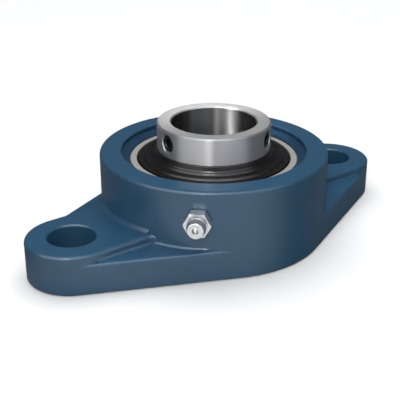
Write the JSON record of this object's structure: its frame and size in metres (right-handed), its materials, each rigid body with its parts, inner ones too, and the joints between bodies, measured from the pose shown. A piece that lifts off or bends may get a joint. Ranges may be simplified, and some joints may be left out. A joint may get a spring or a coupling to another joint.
{
  "type": "flange bearing unit",
  "caption": "Two-bolt oval flange housing with a self-aligning insert ball bearing, locking screws and a grease nipple.",
  "frame": {"origin": "on the mounting face, on the shaft axis", "axes": "+Z along the shaft axis away from the mounting face, +X through the bolt holes; in the picture the near lug is at -X and the nipple at -X -Y"},
  "size_m": [0.1478, 0.0804, 0.0412],
  "materials": {
    "blue_paint": "satin blue paint on cast iron",
    "ring_steel": "ground bearing steel",
    "ball_steel": "polished bearing steel",
    "cage_plastic": "glass-filled nylon",
    "seal_steel": "pressed sheet steel",
    "seal_rubber": "matt rubber",
    "black_slinger": "rubber-coated sheet steel, slightly glossy",
    "black_steel": "black oxide",
    "zinc_plate": "bright zinc plate"
  },
  "bodies": {
    "housing": {"housing": "blue_paint", "nipple_body": "zinc_plate", "nipple_spring": "ring_steel"},
    "outer_ring": {"outer_ring": "ring_steel", "seal_front_plate": "seal_steel", "seal_front_lip": "seal_rubber", "seal_back_plate": "seal_steel", "seal_back_lip": "seal_rubber"},
    "shaft_ring": {"inner_ring": "ring_steel", "slinger_front": "black_slinger", "slinger_back": "black_slinger"},
    "cage": {"cage": "cage_plastic"},
    "ball_1": {"ball_1": "ball_steel"},
    "ball_2": {"ball_2": "ball_steel"},
    "ball_3": {"ball_3": "ball_steel"},
    "ball_4": {"ball_4": "ball_steel"},
    "ball_5": {"ball_5": "ball_steel"},
    "ball_6": {"ball_6": "ball_steel"},
    "ball_7": {"ball_7": "ball_steel"},
    "ball_8": {"ball_8": "ball_steel"},
    "ball_9": {"ball_9": "ball_steel"},
    "screw_1": {"screw_1": "black_steel"},
    "screw_2": {"screw_2": "black_steel"},
    "check_ball": {"nipple_ball": "ball_steel"}
  },
  "joints": [
    {"name": "seat_tilt", "type": "hinge", "parent": "housing", "child": "outer_ring", "pos_m": [0, 0, 0.019], "axis": [0, 1, 0], "range_deg": [-5, 5]},
    {"name": "shaft_spin", "type": "hinge", "parent": "outer_ring", "child": "shaft_ring", "pos_m": [0, 0, 0.019], "axis": [0, 0, 1], "continuous": true},
    {"name": "cage_spin", "type": "hinge", "parent": "outer_ring", "child": "cage", "pos_m": [0, 0, 0.019], "axis": [0, 0, 1], "continuous": true},
    {"name": "ball_1_spin", "type": "hinge", "parent": "cage", "child": "ball_1", "pos_m": [0.023, 0, 0.019], "axis": [0, 0, 1], "continuous": true},
    {"name": "ball_2_spin", "type": "hinge", "parent": "cage", "child": "ball_2", "pos_m": [0.01762, 0.01478, 0.019], "axis": [0, 0, 1], "continuous": true},
    {"name": "ball_3_spin", "type": "hinge", "parent": "cage", "child": "ball_3", "pos_m": [0.00399, 0.02265, 0.019], "axis": [0, 0, 1], "continuous": true},
    {"name": "ball_4_spin", "type": "hinge", "parent": "cage", "child": "ball_4", "pos_m": [-0.0115, 0.01992, 0.019], "axis": [0, 0, 1], "continuous": true},
    {"name": "ball_5_spin", "type": "hinge", "parent": "cage", "child": "ball_5", "pos_m": [-0.02161, 0.00787, 0.019], "axis": [0, 0, 1], "continuous": true},
    {"name": "ball_6_spin", "type": "hinge", "parent": "cage", "child": "ball_6", "pos_m": [-0.02161, -0.00787, 0.019], "axis": [0, 0, 1], "continuous": true},
    {"name": "ball_7_spin", "type": "hinge", "parent": "cage", "child": "ball_7", "pos_m": [-0.0115, -0.01992, 0.019], "axis": [0, 0, 1], "continuous": true},
    {"name": "ball_8_spin", "type": "hinge", "parent": "cage", "child": "ball_8", "pos_m": [0.00399, -0.02265, 0.019], "axis": [0, 0, 1], "continuous": true},
    {"name": "ball_9_spin", "type": "hinge", "parent": "cage", "child": "ball_9", "pos_m": [0.01762, -0.01478, 0.019], "axis": [0, 0, 1], "continuous": true},
    {"name": "screw_1_travel", "type": "slide", "parent": "shaft_ring", "child": "screw_1", "axis": [-1, 0.0087, 0], "range_m": [-0.0004, 0.003]},
    {"name": "screw_2_travel", "type": "slide", "parent": "shaft_ring", "child": "screw_2", "axis": [0.4924, -0.8704, 0], "range_m": [-0.0004, 0.003]},
    {"name": "check_ball_press", "type": "slide", "parent": "housing", "child": "check_ball", "axis": [0.7071, 0.7071, 0], "range_m": [0, 0.0008], "stiffness_N_per_m": 800, "springref_m": -0.0008, "deforming": ["nipple_spring"]}
  ],
  "couplings": [
    {"joint": "cage_spin", "follows": "shaft_spin", "ratio": 0.39647},
    {"joint": "ball_1_spin", "follows": "shaft_spin", "ratio": -2.3112},
    {"joint": "ball_2_spin", "follows": "shaft_spin", "ratio": -2.3112},
    {"joint": "ball_3_spin", "follows": "shaft_spin", "ratio": -2.3112},
    {"joint": "ball_4_spin", "follows": "shaft_spin", "ratio": -2.3112},
    {"joint": "ball_5_spin", "follows": "shaft_spin", "ratio": -2.3112},
    {"joint": "ball_6_spin", "follows": "shaft_spin", "ratio": -2.3112},
    {"joint": "ball_7_spin", "follows": "shaft_spin", "ratio": -2.3112},
    {"joint": "ball_8_spin", "follows": "shaft_spin", "ratio": -2.3112},
    {"joint": "ball_9_spin", "follows": "shaft_spin", "ratio": -2.3112}
  ]
}
